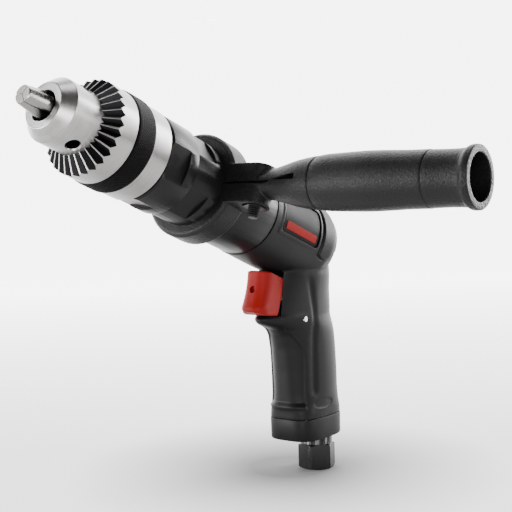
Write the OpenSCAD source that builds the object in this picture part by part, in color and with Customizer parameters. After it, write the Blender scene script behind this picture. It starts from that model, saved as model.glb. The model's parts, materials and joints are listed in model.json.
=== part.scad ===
// Air drill with a keyed chuck, a two-stage planet gear, a vane motor and a clamp-on side handle.
// Row frame: origin at the mouth of the air inlet, Z up along the grip, X forward, millimetres.
// Spindle pieces are drawn along X with the side-handle ring at the origin and then pitched up by stand().

/* [Stance] */
// Pitch of the spindle above the horizontal, degrees
rake = 20; // [19:0.5:21]
// Height of the barrel's underside above the inlet mouth, at the hub
under_z = 111; // [110.6:0.1:112]

/* [Chuck] */
// Step from the barrel's radius down to the turning sleeve
sleeve_step = 0.9; // [0.5:0.1:1.5]
// Radius of the chuck nose
nose_r = 15; // [14.6:0.1:15.3]
// Front face of the chuck nose
nose_front = 105.8; // [104:0.1:107]
// Tip of the closed jaws
jaw_tip = 117.5; // [116:0.1:118.5]
// Radius of a jaw
jaw_r = 3.4; // [3.2:0.05:3.5]
// Slant of the jaws to the spindle, degrees
jaw_tilt = 14; // [13.6:0.1:14.2]
// Teeth on the sleeve
sleeve_teeth = 30; // [26:1:32]
// Radius of the three key holes
key_r = 3.2; // [2.8:0.1:3.6]

/* [Gears] */
// Width of the planet gears
planet_w = 10; // [8:0.5:10.5]

/* [Motor] */
// Least gap between rotor and cylinder
rotor_gap = 0.2; // [0.1:0.05:0.6]
// Number of vanes
vane_count = 5; // [4:1:6]
// Offset of the cylinder bore from the spindle
bore_shift = 1.4; // [1.0:0.1:1.5]

/* [Body] */
// Outer radius of the barrel
barrel_r = 23.4; // [20:0.1:27]
// Half width of the grip
grip_half = 16.2; // [15.6:0.1:17.5]
// Travel of the trigger
trigger_travel = 7; // [4:0.5:7]
// Half width of the trigger
trigger_half = 8; // [7.8:0.1:9]

/* [Inlet] */
// Hexagon of the inlet across its flats
hex_af = 19; // [18:0.5:22]
// Wall radius of the threaded inlet hole
inlet_r = 5.7; // [5:0.1:6]

/* [Side handle] */
// Wall of the clamp ring
clamp_wall = 5.7; // [4.8:0.1:7]
// Thickest radius of the side grip
side_r = 13.5; // [13.2:0.1:15]
// Far end of the side grip
side_end = 150.7; // [146:0.1:160]

/* [Hidden] */
$fn = 72;
eps = 0.01;
run = 0.06;
hub_x = 24;
hub_back = 79.9;
hub_z = under_z + barrel_r;
collar_r = barrel_r - 0.9;
case_r = collar_r - 1.2;
spigot_in = case_r - 1.8;
stack_r = collar_r - 2.3;
ring_r = collar_r - 4.1;
gear_m = ring_r / 23;
carrier_r = ring_r * 0.845;
front_r = collar_r - 5;
shaft_r = front_r * 17 / 35;
seal_r = front_r - 3.5;
race_r = shaft_r + (front_r - shaft_r) * 0.389;
clamp_r = case_r + clamp_wall;
sleeve_r = barrel_r - sleeve_step;
body_r = sleeve_r - 1.76;
sleeve_bore = body_r + run;
chuck_back = 47.8;
body_back = 48.5;
groove_a = 73;
groove_b = 80;
nose_bore = 6.9;
jaw_off = 1;
jaw_len = 44;
jaw_gap = 0.17;
jaw_open = sleeve_r * 6.5 / 22.5;
jaw_trim = sleeve_bore - jaw_open - 0.15;
jaw_lean = jaw_tilt * sleeve_r / 22.5;
jaw_rad = jaw_r * sleeve_r / 22.5;
jaw_run = jaw_open / sin(jaw_lean);
nut_a = groove_a + 0.1;
nut_b = groove_b - 0.1;
nut_r = jaw_off + (jaw_tip - nut_b) * tan(jaw_lean) + jaw_rad / cos(jaw_lean) + 0.12;
groove_r = nut_r - 1.5;
sleeve_front = 86.3;
tooth_back = 81.8;
thread_r = 6.35;
screw_r = 3;
pin_r = gear_m * 2.5;
sun_n = 12;
planet_n = 15;
ring_n = 42;
gear_ca = 25;
gear_add = 0.8;
gear_ded = 1;
gear_gap = 0.06;
centre = gear_m * (sun_n + planet_n) / 2;
out_x = 5;
carrier_x = out_x + planet_w + 1;
in_x = -20;
ring_a = -24;
ring_b = 15.5;
pilot_r = gear_m * 3.125;
case_front = 27.5;
case_back = -37.9;
stack_front = -44;
plate_f = -50;
plate_r = -86;
stack_end = -91;
bore_end = -92;
bore_r = stack_r - 3.8;
rotor_r = bore_r - bore_shift - rotor_gap;
hub_r = rotor_r * 0.507;
valve_z = 104.5;
valve_r = 4.8;
rod_r = 2;
bush_back = 16;
bush_end = 40 - trigger_travel;
port_x = bush_end - 5;
seat_r = inlet_r - 0.7;
seat_z = 12.4;
cap_top = 33;
cap_low = 21;
felt_z = 25;
side_z = 0.9;
lug_y = 37;
lug_r = 7.4;
lug_z = 10;
seam_y = 72.4;
spigot_r = 9;
spigot_y = 128;
bolt_r = 3;
badge_x = -78;
badge_w = 34;
badge_z = -7.5;
badge_h = 21;

// Moves spindle pieces into the row frame.
module stand() {
    translate([hub_x, 0, hub_z])
        rotate([0, -rake, 0])
            translate([hub_back, 0, 0])
                children();
}

// Turns local Z onto the spindle, starting at x.
module ax(x) {
    translate([x, 0, 0])
        rotate([0, 90, 0])
            children();
}

// Solid of revolution about the spindle from [x, radius] points.
module lathe(p) {
    rotate([0, 90, 0])
        rotate_extrude()
            polygon([for (q = p) [q[1], q[0]]]);
}

// Tube about the spindle between two x positions.
module tube(xa, xb, ri, ro) {
    difference() {
        ax(xa)
            cylinder(r = ro, h = xb - xa);
        ax(xa - 1)
            cylinder(r = ri, h = xb - xa + 2);
    }
}

// Plain rod about the spindle between two x positions.
module rod(xa, xb, r) {
    ax(xa)
        cylinder(r = r, h = xb - xa);
}

// Involute angle at radius r on base circle rb, degrees.
function inv_at(rb, r) = let (a = acos(min(1, rb / r))) tan(a) * 180 / PI - a;

// Radii at which a flank is sampled.
function flank_r(lo, hi) = [for (i = [0:3]) lo + (hi - lo) * i / 3];

// Half the tooth angle at radius r.
function tooth_half(n, rp, rb, gap, r) =
    90 / n - gap / rp * 180 / PI + inv_at(rb, rp) - inv_at(rb, r);

// Outline of a gear: n teeth, addendum and dedendum in modules, gap taken off each flank.
function gear_points(n, add, ded, gap) =
    let (rp = gear_m * n / 2)
    let (rb = rp * cos(gear_ca))
    let (rr = rp - ded * gear_m)
    let (ra = rp + add * gear_m)
    let (rs = flank_r(max(rb, rr), ra))
    let (h0 = tooth_half(n, rp, rb, gap, rs[0]))
    [for (k = [0:n - 1], s = [-1, 1], i = [0:4])
        let (j = s < 0 ? i - 1 : 3 - i)
        let (r = j < 0 ? rr : rs[j])
        let (h = j < 0 ? h0 : tooth_half(n, rp, rb, gap, rs[j]))
        let (t = 360 / n * k + s * h)
        [r * cos(t), r * sin(t)]];

module gear_flat(n) {
    polygon(gear_points(n, gear_add, gear_ded, gear_gap));
}

// Cylinder that carries jaw i, slanted outwards to the rear.
module jaw_bar(r, a, b) {
    translate([jaw_tip, jaw_off, 0])
        rotate([0, 0, -jaw_lean])
            rotate([0, -90, 0])
                translate([0, 0, a])
                    cylinder(r = r, h = b - a);
}

module jaw(turn) {
    color("silver")
        stand()
            rotate([turn, 0, 0])
                intersection() {
                    jaw_bar(jaw_rad, -4, jaw_len);
                    translate([jaw_tip - 60, 0, 0])
                        rotate([90, 0, 90])
                            linear_extrude(height = 60)
                                polygon([[jaw_gap, 0], [jaw_gap + 20, -20 * tan(60)],
                                    [jaw_gap + 20, 20 * tan(60)]]);
                    lathe([[jaw_tip - 60, 0], [jaw_tip - 60, jaw_trim], [jaw_tip - 20, jaw_trim],
                        [jaw_tip - 16, 5.5], [jaw_tip - 1.8, 4.8], [jaw_tip, 3.3], [jaw_tip, 0]]);
                }
}

module jaw_1() {
    jaw(0);
}

module jaw_2() {
    jaw(120);
}

module jaw_3() {
    jaw(240);
}

module chuck_body() {
    round_r = 4.4;
    color("gainsboro")
        stand()
            difference() {
                lathe(concat([[body_back, 0], [body_back, body_r], [groove_a, body_r],
                    [groove_a, groove_r], [groove_b, groove_r], [groove_b, nose_r]],
                    [for (t = [0:15:90]) [nose_front - round_r + round_r * sin(t),
                        nose_r - round_r + round_r * cos(t)]],
                    [[nose_front, 0]]));
                rod(groove_b, nose_front + 1, nose_bore);
                rod(body_back - 1, 66, thread_r + 0.05);
                rod(60, groove_b + 1, screw_r + 0.05);
                for (a = [0, 120, 240])
                    rotate([a, 0, 0])
                        jaw_bar(jaw_rad + 0.04, -12, jaw_len + jaw_run + 6);
                for (a = [60, 180, 300])
                    rotate([a, 0, 0])
                        translate([91.5, 9, 0])
                            rotate([-90, 0, 0])
                                cylinder(r = key_r, h = 10);
            }
}

module chuck_sleeve() {
    slope = atan2(sleeve_r - nose_r, tooth_back - sleeve_front);
    mid = [(sleeve_front + tooth_back) / 2, (sleeve_r + nose_r) / 2];
    color("lightgray")
        stand()
            difference() {
                lathe([[chuck_back, sleeve_bore], [chuck_back, sleeve_r - 0.6],
                    [chuck_back + 0.6, sleeve_r], [59.1, sleeve_r], [59.1, sleeve_r - 0.3],
                    [59.5, sleeve_r - 0.3], [59.5, sleeve_r + 0.25], [70.4, sleeve_r + 0.25],
                    [70.4, sleeve_r - 0.3], [70.8, sleeve_r - 0.3], [70.8, sleeve_r],
                    [tooth_back, sleeve_r], [sleeve_front, nose_r + run], [groove_b - 0.1, nose_r + run],
                    [groove_b - 0.1, sleeve_bore]]);
                for (k = [0:sleeve_teeth - 1])
                    rotate([360 / sleeve_teeth * k, 0, 0])
                        translate([mid[0], mid[1], 0])
                            rotate([0, 0, slope + 4])
                                rotate([0, 90, 0])
                                    linear_extrude(height = 14, center = true)
                                        polygon([[-3.7, -2], [3.7, -2], [0, 1.8]]);
            }
}

module chuck_nut() {
    grow = tan(jaw_lean);
    color("dimgray")
        stand()
            difference() {
                lathe([[nut_a, nut_r + (nut_b - nut_a) * grow], [nut_a, sleeve_bore], [nut_b, sleeve_bore],
                    [nut_b, nut_r]]);
                translate([nut_a - 1, -30, -0.1])
                    cube([10, 60, 0.2]);
            }
}

module chuck_screw() {
    color("dimgray")
        stand()
            difference() {
                lathe([[54.5, 0], [54.5, screw_r], [groove_b, screw_r], [groove_b, 5.2], [groove_b + 4, 5.2],
                    [groove_b + 4, 0]]);
                ax(groove_b + 2)
                    cylinder(r = 2.9, h = 4, $fn = 6);
            }
}

module spindle() {
    color("slategray")
        stand()
            difference() {
                lathe([[carrier_x, 0], [carrier_x, carrier_r], [26, carrier_r], [26, shaft_r + 2],
                    [32, shaft_r + 2],
                    [32, shaft_r], [body_back, shaft_r], [body_back, thread_r], [64, thread_r], [64, 0]]);
                rod(54, 70, screw_r);
                rod(15, 22, pilot_r + 0.05);
                for (k = [0:2])
                    ax(15)
                        rotate(120 * k)
                            translate([centre, 0, 0])
                                cylinder(r = pin_r, h = 12);
            }
}

module front_bearing() {
    color("silver")
        stand()
            tube(32, 42, race_r + run, front_r);
}

module front_bearing_inner() {
    color("silver")
        stand()
            tube(32, 42, shaft_r, race_r);
}

module front_seal() {
    color("tan")
        stand()
            tube(42.2, 45.5, shaft_r + 0.08, seal_r);
}

module nose_housing() {
    nose_h = collar_r - 0.2;
    flat_d = nose_h - 1.7;
    color("#2b2b2d")
        stand()
            difference() {
                lathe([[case_front, spigot_in], [case_front, nose_h - 0.5], [case_front + 0.5, nose_h],
                    [45.7, nose_h], [46.5, nose_h - 0.8], [46.5, shaft_r + 1.1], [45.5, shaft_r + 1.1],
                    [45.5, seal_r], [42, seal_r], [42, front_r], [32, front_r], [32, spigot_in]]);
                for (k = [0:3])
                    rotate([90 * k - 7.5, 0, 0])
                        translate([34, flat_d, -20])
                            cube([20, 20, 40]);
            }
}

module gear_case() {
    flat_d = case_r - 1.6;
    color("#2b2b2d")
        stand()
            difference() {
                lathe([[stack_front, ring_r], [stack_front, stack_r], [case_back, stack_r],
                    [case_back, collar_r - 0.5], [case_back + 0.5, collar_r], [-9, collar_r],
                    [-7.6, case_r], [case_front, case_r], [case_front, spigot_in], [32, spigot_in],
                    [32, ring_r - 1.8], [28, ring_r - 1.8], [28, ring_r - 1], [ring_b, ring_r - 1],
                    [ring_b, ring_r]]);
                for (k = [0:3])
                    rotate([90 * k - 48, 0, 0])
                        translate([13.3, flat_d, -20])
                            cube([case_front - 13.3, 20, 40]);
            }
}

module ring_gear() {
    color("gray")
        stand()
            ax(ring_a)
                linear_extrude(height = ring_b - ring_a)
                    difference() {
                        circle(r = ring_r);
                        polygon(gear_points(ring_n, gear_ded, gear_add, -gear_gap));
                    }
}

module gear_spacer() {
    color("gray")
        stand()
            tube(stack_front, ring_a, ring_r - 1.8, ring_r);
}

module planet(x, turn) {
    color("darkgray")
        stand()
            ax(x)
                rotate(turn)
                    translate([centre, 0, 0])
                        linear_extrude(height = planet_w)
                            difference() {
                                gear_flat(planet_n);
                                circle(r = pin_r + 0.05);
                            }
}

module pins(xa, xb) {
    color("silver")
        stand()
            for (k = [0:2])
                ax(xa)
                    rotate(120 * k)
                        translate([centre, 0, 0])
                            cylinder(r = pin_r, h = xb - xa);
}

module out_planet_1() {
    planet(out_x, 0);
}

module out_planet_2() {
    planet(out_x, 120);
}

module out_planet_3() {
    planet(out_x, 240);
}

module out_planet_pins() {
    pins(4.2, 26);
}

module mid_carrier() {
    color("slategray")
        stand()
            difference() {
                union() {
                    rod(-8, 3.5, carrier_r);
                    rod(3, 5, gear_m * 4.9);
                    ax(4.5)
                        linear_extrude(height = planet_w + 0.5)
                            gear_flat(sun_n);
                    rod(4, 21.5, pilot_r);
                }
                rod(-9, -2, pilot_r + 0.05);
                for (k = [0:2])
                    ax(-9)
                        rotate(120 * k)
                            translate([centre, 0, 0])
                                cylinder(r = pin_r, h = 11.5);
            }
}

module in_planet_1() {
    planet(in_x, 0);
}

module in_planet_2() {
    planet(in_x, 120);
}

module in_planet_3() {
    planet(in_x, 240);
}

module in_planet_pins() {
    pins(-21, 2.5);
}

module front_end_plate() {
    color("gray")
        stand()
            difference() {
                rod(plate_f, stack_front, stack_r);
                rod(plate_f + 1, stack_front + 1, 9.5);
                rod(plate_f - 1, plate_f + 2, 5);
            }
}

module rotor_front_bearing() {
    color("silver")
        stand()
            tube(plate_f + 1, stack_front, 6.5 + run, 9.5);
}

module rotor_front_inner() {
    color("silver")
        stand()
            tube(plate_f + 1, stack_front, 4, 6.5);
}

module rotor() {
    color("slategray")
        stand()
            difference() {
                union() {
                    lathe([[stack_end, 0], [stack_end, 3.5], [plate_r + 0.3, 3.5], [plate_r + 0.3, rotor_r],
                        [plate_f - 0.3, rotor_r], [plate_f - 0.3, 4], [stack_front, 4],
                        [stack_front, gear_m * 4.95], [in_x + 0.5, gear_m * 4.95], [in_x + 0.5, 0]]);
                    ax(in_x)
                        linear_extrude(height = planet_w + 0.4)
                            gear_flat(sun_n);
                    rod(in_x, -3, pilot_r);
                }
                for (k = [0:vane_count - 1])
                    ax(plate_r)
                        rotate(360 / vane_count * k)
                            translate([hub_r, -1, -1])
                                cube([10, 2, plate_f - plate_r + 2]);
            }
}

module rotor_vanes() {
    color("saddlebrown")
        stand()
            for (k = [0:vane_count - 1])
                ax(plate_r + 0.4)
                    rotate(360 / vane_count * k)
                        translate([hub_r, -0.96, 0])
                            cube([rotor_r - hub_r - 0.1, 1.92, plate_f - plate_r - 0.8]);
}

module motor_cylinder() {
    color("gray")
        stand()
            difference() {
                rod(plate_r, plate_f, stack_r);
                translate([0, 0, bore_shift])
                    rod(plate_r - 1, plate_f + 1, bore_r);
                translate([-80.9, 0, -25])
                    cylinder(r = 3, h = 16);
                for (x = [-76, -70, -64], a = [-55, 55])
                    translate([x, 0, 0])
                        rotate([a, 0, 0])
                            translate([0, 0, -25])
                                cylinder(r = 2, h = 16);
            }
}

module rear_end_plate() {
    color("gray")
        stand()
            difference() {
                rod(stack_end, plate_r, stack_r);
                rod(stack_end - 1, plate_r - 1, 8.5);
                rod(plate_r - 2, plate_r + 1, 4.2);
            }
}

module rotor_rear_bearing() {
    color("silver")
        stand()
            tube(stack_end, plate_r - 1, 5.5 + run, 8.5);
}

module rotor_rear_inner() {
    color("silver")
        stand()
            tube(stack_end, plate_r - 1, 3.5, 5.5);
}

module motor_gasket() {
    color("olive")
        stand()
            tube(bore_end, stack_end, 10, stack_r);
}

// Grip stations: height, back, front, share of grip_half, narrowing of the front, softness of the corners.
grip_rows = [[cap_top, -9.4, 31.2, 0.98, 0.1, 0.58], [37, -9.6, 31.3, 0.98, 0.1, 0.62],
    [41, -9.8, 31.6, 0.99, 0.12, 0.74], [47, -10, 31.9, 1, 0.12, 0.84], [60, -9.8, 32.6, 1, 0.14, 0.84],
    [73, -9.1, 34.1, 1, 0.18, 0.84], [80, -8.3, 36.3, 1, 0.24, 0.84], [84, -7.6, 40.3, 1, 0.34, 0.84],
    [86.5, -7.2, 46.3, 1, 0.44, 0.84], [89, -6.7, 51.5, 1, 0.5, 0.84], [91.3, -6.2, 53.3, 1, 0.52, 0.84],
    [93.2, -5.8, 49.5, 1.02, 0.45, 0.84], [104, -4.2, 46.6, 1.06, 0.4, 0.84],
    [113, -3.2, 44, 1.12, 0.36, 0.84], [121, -2, 40, 1.1, 0.2, 0.84], [129, 1, 37, 1, 0.1, 0.84],
    [136, 6, 33, 0.8, 0, 0.84]];
grip_n = 28;

// One ring of the grip: rounded rectangle with a narrower front.
function grip_ring(s) =
    let (c = (s[1] + s[2]) / 2)
    let (a = (s[2] - s[1]) / 2)
    [for (i = [0:grip_n - 1])
        let (t = 360 * (i + 0.5) / grip_n)
        let (w = s[3] * grip_half * (1 - s[4] * max(0, cos(t))))
        [c + a * sign(cos(t)) * pow(abs(cos(t)), s[5]), w * sign(sin(t)) * pow(abs(sin(t)), s[5]), s[0]]];

// Closed skin through rings of equal point count.
module skin(rows, n) {
    m = len(rows);
    polyhedron(points = [for (r = rows, p = r) p],
        faces = concat([[for (i = [n - 1:-1:0]) n - 1 - i]],
            [for (k = [0:m - 2], i = [0:n - 1]) [k * n + i, (k + 1) * n + i, k * n + (i + 1) % n]],
            [for (k = [0:m - 2], i = [0:n - 1])
                [(k + 1) * n + i, (k + 1) * n + (i + 1) % n, k * n + (i + 1) % n]],
            [[for (i = [0:n - 1]) m * n - 1 - i]]));
}

// Part of the barrel wall on the left side that holds the badge.
module badge_zone(inset, r0, r1) {
    stand()
        intersection() {
            tube(badge_x + inset, badge_x + badge_w - inset, r0, r1);
            translate([badge_x + inset, 10, badge_z + inset])
                cube([badge_w - 2 * inset, 20, badge_h - 2 * inset]);
        }
}

// Side profile extruded across the handle.
module across(half) {
    rotate([90, 0, 0])
        linear_extrude(height = 2 * half, center = true)
            children();
}

module motor_housing() {
    color("#232325")
        difference() {
            union() {
                stand()
                    lathe([[case_back, 0], [case_back, collar_r - 0.2], [case_back - 0.8, barrel_r - 0.4],
                        [-60, barrel_r], [-91, barrel_r], [-96, barrel_r - 1], [-99.6, barrel_r - 3],
                        [-102.4, barrel_r - 6.4], [-104, barrel_r - 11], [-104.7, barrel_r - 17],
                        [-104.7, 0]]);
                skin([for (s = grip_rows) grip_ring(s)], grip_n);
            }
            stand()
                rod(bore_end, case_back + 1, stack_r);
            badge_zone(0, barrel_r - 1, barrel_r + 3);
            across(trigger_half + 0.15)
                polygon([[45.1 - trigger_travel, 92.5], [39.1 - trigger_travel, 112.3],
                    [51.2 - trigger_travel, 117], [60.6 - trigger_travel, 118.9], [90, 118.9], [90, 92.5]]);
            translate([-1, 0, valve_z])
                rotate([0, 90, 0])
                    cylinder(r = valve_r, h = 40);
            translate([0, 0, cap_top - 1])
                cylinder(r = 8, h = 11);
            translate([2, 0, cap_top])
                cylinder(r = 4, h = valve_z - cap_top);
            translate([port_x, 0, valve_z])
                cylinder(r = 2.6, h = 20);
            for (s = [-1, 1])
                translate([22, 8 * s, cap_top - 1])
                    cylinder(r = 2.6, h = 95);
            translate([29.4, 0, 89.8])
                rotate([90, 0, 0])
                    cylinder(r = 1.5, h = 60, center = true);
        }
}

module badge_plate() {
    color("firebrick")
        badge_zone(0.3, barrel_r - 1, barrel_r - 0.35);
}

module trigger() {
    nose = 7.4;
    color("crimson")
        difference() {
            intersection() {
                across(trigger_half)
                    polygon([[45.4, 92.8], [39.4, 112], [50.9, 116.7], [58, 118.5], [64, 118.5],
                        [64, 97.4], [58.2, 95.4], [54, 93.8]]);
                translate([57.4, 0, 108])
                    rotate([0, -15.3, 0])
                        linear_extrude(height = 60, center = true)
                            union() {
                                translate([-40, -trigger_half])
                                    square([40 - nose, 2 * trigger_half]);
                                translate([-40, nose - trigger_half])
                                    square([40, 2 * (trigger_half - nose)]);
                                for (s = [-1, 1])
                                    translate([-nose, s * (trigger_half - nose)])
                                        circle(r = nose);
                            }
            }
            translate([36, 0, valve_z])
                rotate([0, 90, 0])
                    cylinder(r = rod_r, h = 12);
            translate([55.4, 0, 108])
                rotate([0, 90, 0])
                    cylinder(r = 1.5, h = 10);
        }
}

module trigger_rod() {
    color("silver")
        translate([14, 0, valve_z])
            rotate([0, 90, 0])
                cylinder(r = rod_r, h = 34);
}

module valve_poppet() {
    color("goldenrod")
        translate([12.5, 0, valve_z])
            rotate([0, 90, 0])
                difference() {
                    cylinder(r = 4.2, h = 3.5);
                    translate([0, 0, 1.5])
                        cylinder(r = rod_r, h = 4);
                }
}

module valve_bush() {
    color("goldenrod")
        difference() {
            translate([bush_back, 0, valve_z])
                rotate([0, 90, 0])
                    cylinder(r = valve_r, h = bush_end - bush_back);
            translate([bush_back - 1, 0, valve_z])
                rotate([0, 90, 0])
                    cylinder(r = rod_r + 0.05, h = 25);
            translate([bush_back - 1, 0, valve_z])
                rotate([0, 90, 0])
                    cylinder(r = 3.4, h = bush_end - bush_back - 1);
            translate([port_x, 0, valve_z])
                cylinder(r = 1.6, h = 10);
        }
}

module valve_spring() {
    color("silver")
        translate([-1, 0, valve_z])
            rotate([0, 90, 0])
                difference() {
                    cylinder(r = 3.9, h = 13.5);
                    translate([0, 0, -1])
                        cylinder(r = 3.1, h = 16);
                }
}

module grip_pin() {
    color("silver")
        translate([29.4, 0, 89.8])
            rotate([90, 0, 0])
                cylinder(r = 1.5, h = 2 * grip_half - 2.4, center = true);
}

module inlet_bushing() {
    color("#1d1d1f")
        difference() {
            union() {
                intersection() {
                    rotate(19)
                        cylinder(r = hex_af / sqrt(3), h = 14.5, $fn = 6);
                    rotate_extrude()
                        polygon([[0, 0], [hex_af / 2 - 0.2, 0], [hex_af / 2 + 1.4, 1],
                            [hex_af / 2 + 1.4, 13.5], [hex_af / 2, 14.5], [0, 14.5]]);
                }
                cylinder(r = 9.2, h = cap_low - 1.5);
                cylinder(r = 8, h = cap_top + 9);
            }
            translate([0, 0, -1])
                cylinder(r = inlet_r, h = 13);
            translate([0, 0, 11])
                cylinder(r = seat_r, h = seat_z - 10);
            translate([0, 0, 5])
                cylinder(r = 4, h = 60);
        }
}

module inlet_seal() {
    color("black")
        translate([0, 0, cap_low - 1.5])
            difference() {
                cylinder(r = 9.6, h = 1.5);
                translate([0, 0, -1])
                    cylinder(r = 8, h = 4);
            }
}

module inlet_screen() {
    color("goldenrod")
        translate([0, 0, seat_z])
            difference() {
                cylinder(r = seat_r, h = 1);
                for (k = [0:5])
                    rotate(60 * k)
                        translate([2.6, 0, -1])
                            cylinder(r = 0.9, h = 3);
                translate([0, 0, -1])
                    cylinder(r = 0.9, h = 3);
            }
}

// Foot stations, as grip_rows.
cap_rows = [[cap_low, -8.4, 30.1, 0.95, 0.1, 0.55], [cap_low + 0.8, -9, 30.7, 0.975, 0.1, 0.55],
    [cap_top - 0.5, -9.2, 31, 0.98, 0.1, 0.55], [cap_top, -8.9, 30.7, 0.965, 0.1, 0.55]];

module exhaust_cap() {
    color("#1f1f21")
        difference() {
            skin([for (s = cap_rows) grip_ring(s)], grip_n);
            translate([0, 0, cap_low - 1])
                cylinder(r = 8, h = 20);
            translate([10.5, -12, felt_z])
                cube([17, 24, 20]);
            for (i = [0:2], j = [-1:1])
                translate([13.5 + 5.5 * i, 7 * j, cap_low - 1])
                    cylinder(r = 1.8, h = 10);
        }
}

module exhaust_felt() {
    color("wheat")
        translate([10.5, -12, felt_z])
            cube([17, 24, cap_top - felt_z]);
}

// Profile of the side grip about Y as [y, radius].
function side_profile() = [[seam_y, 12.5], [78, 13.1], [86, side_r - 0.25], [94, side_r - 0.04],
    [100, side_r], [108, side_r - 0.25], [118, side_r - 0.75], [spigot_y + 0.4, 12.75],
    [spigot_y + 1, 12.3], [spigot_y + 1.6, 12.55], [side_end - 12, 12.3], [side_end - 5.5, 12.5],
    [side_end - 3.4, 13.6], [side_end - 0.5, 13.8], [side_end, 13.3]];

module about_y(p) {
    rotate([-90, 0, 0])
        rotate_extrude()
            polygon([for (q = p) [q[1], q[0]]]);
}

module side_handle() {
    color("#222224")
        stand()
            difference() {
                union() {
                    lathe([[-7.5, case_r - 2], [-7.5, clamp_r - 1.5], [-6.2, clamp_r], [5.9, clamp_r],
                        [7.2, clamp_r - 1.5], [7.2, case_r - 2]]);
                    translate([-lug_r, 22, -lug_z])
                        cube([2 * lug_r, lug_y - 22, 2 * lug_z]);
                    translate([0, lug_y, -lug_z])
                        cylinder(r = lug_r, h = 2 * lug_z);
                    translate([0, 0, side_z])
                        about_y([[38, 0], [38, 6.4], [44, 7.1], [50, 8.2], [60, 10.7], [66, 11.8],
                            [seam_y, 12.5], [seam_y, spigot_r], [spigot_y, spigot_r], [spigot_y, 0]]);
                }
                rod(-9, 9, case_r + run);
                translate([-15, 15, -0.5])
                    cube([30, 43, 1]);
                translate([0, lug_y, -30])
                    cylinder(r = bolt_r, h = 60);
                translate([0, lug_y, lug_z - 5])
                    cylinder(r = 5.2, h = 20);
                translate([0, lug_y, -lug_z - 10])
                    cylinder(r = 6, h = 14);
            }
}

module side_grip() {
    color("#1c1c1e")
        stand()
            difference() {
                translate([0, 0, side_z])
                    about_y(concat([[seam_y, 0]], side_profile(), [[side_end, 0]]));
                translate([0, seam_y - 1, side_z])
                    rotate([-90, 0, 0])
                        cylinder(r = spigot_r, h = spigot_y - seam_y + 1);
                translate([0, spigot_y + 5, side_z])
                    rotate([-90, 0, 0])
                        cylinder(r = 10.3, h = side_end);
            }
}

module clamp_bolt() {
    color("dimgray")
        stand()
            translate([0, lug_y, 0])
                difference() {
                    union() {
                        translate([0, 0, -lug_z - 5.5])
                            cylinder(r = bolt_r, h = 2 * lug_z + 2);
                        translate([0, 0, lug_z - 5])
                            cylinder(r = 5, h = 4.8);
                    }
                    translate([0, 0, lug_z - 3])
                        cylinder(r = 2.9, h = 6, $fn = 6);
                }
}

module clamp_nut() {
    color("dimgray")
        stand()
            translate([0, lug_y, -lug_z - 0.6])
                difference() {
                    cylinder(r = 5.77, h = 4.6, $fn = 6);
                    translate([0, 0, -1])
                        cylinder(r = bolt_r, h = 8);
                }
}

chuck_body();
chuck_sleeve();
chuck_nut();
jaw_1();
jaw_2();
jaw_3();
chuck_screw();
spindle();
front_bearing();
front_bearing_inner();
front_seal();
nose_housing();
gear_case();
ring_gear();
gear_spacer();
out_planet_1();
out_planet_2();
out_planet_3();
out_planet_pins();
mid_carrier();
in_planet_1();
in_planet_2();
in_planet_3();
in_planet_pins();
front_end_plate();
rotor_front_bearing();
rotor_front_inner();
rotor();
rotor_vanes();
motor_cylinder();
rear_end_plate();
rotor_rear_bearing();
rotor_rear_inner();
motor_gasket();
motor_housing();
badge_plate();
trigger();
trigger_rod();
valve_poppet();
valve_bush();
valve_spring();
grip_pin();
inlet_bushing();
inlet_seal();
inlet_screen();
exhaust_cap();
exhaust_felt();
side_handle();
side_grip();
clamp_bolt();
clamp_nut();
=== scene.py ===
import json
import math

import bmesh
import bpy
from bpy.props import FloatProperty, FloatVectorProperty, IntProperty, PointerProperty
from mathutils import Matrix, Vector


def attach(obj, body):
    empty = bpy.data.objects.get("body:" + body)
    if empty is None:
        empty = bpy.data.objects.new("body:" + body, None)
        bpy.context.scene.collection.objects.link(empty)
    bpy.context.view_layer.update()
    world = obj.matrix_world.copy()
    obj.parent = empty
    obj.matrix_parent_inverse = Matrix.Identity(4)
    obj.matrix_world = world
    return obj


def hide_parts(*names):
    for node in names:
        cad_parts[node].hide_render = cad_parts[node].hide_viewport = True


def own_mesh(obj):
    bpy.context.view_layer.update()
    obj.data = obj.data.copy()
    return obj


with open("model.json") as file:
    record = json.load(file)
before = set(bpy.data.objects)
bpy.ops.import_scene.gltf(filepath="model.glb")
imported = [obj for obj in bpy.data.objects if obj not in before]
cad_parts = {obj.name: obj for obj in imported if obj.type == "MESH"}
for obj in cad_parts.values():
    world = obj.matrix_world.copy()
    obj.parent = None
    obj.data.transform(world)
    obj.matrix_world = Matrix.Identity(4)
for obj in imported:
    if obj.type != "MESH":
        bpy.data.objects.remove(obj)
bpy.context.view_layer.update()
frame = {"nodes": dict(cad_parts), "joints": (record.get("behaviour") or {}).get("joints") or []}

bl_info = {
    "name": "Air Drill Looks",
    "version": (1, 0, 0),
    "blender": (4, 5, 0),
    "location": "View3D > Sidebar > Drill",
    "description": "Builds the skin, materials and stage of the air drill around its CAD frame",
    "category": "Object",
}

MM = 0.001
NODES = frame["nodes"]
SPIN = next(j for j in frame["joints"] if j["name"] == "chuck_spin")
AXIS = Vector(SPIN["axis"]).normalized()
RAKE = math.atan2(AXIS.z, AXIS.x)
ORIGIN = Vector(SPIN["pos_m"])
# Both frames take millimetres. Row frame: Z up along the grip, from the mouth of the inlet.
# Spindle frame: X forward along the spindle, Y to the side handle.
ROW = Matrix.Scale(MM, 4)
SPINDLE = Matrix.Translation(ORIGIN) @ Matrix.Rotation(-RAKE, 4, "Y") @ Matrix.Scale(MM, 4)
TO_SPINDLE = SPINDLE.inverted()
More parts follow.
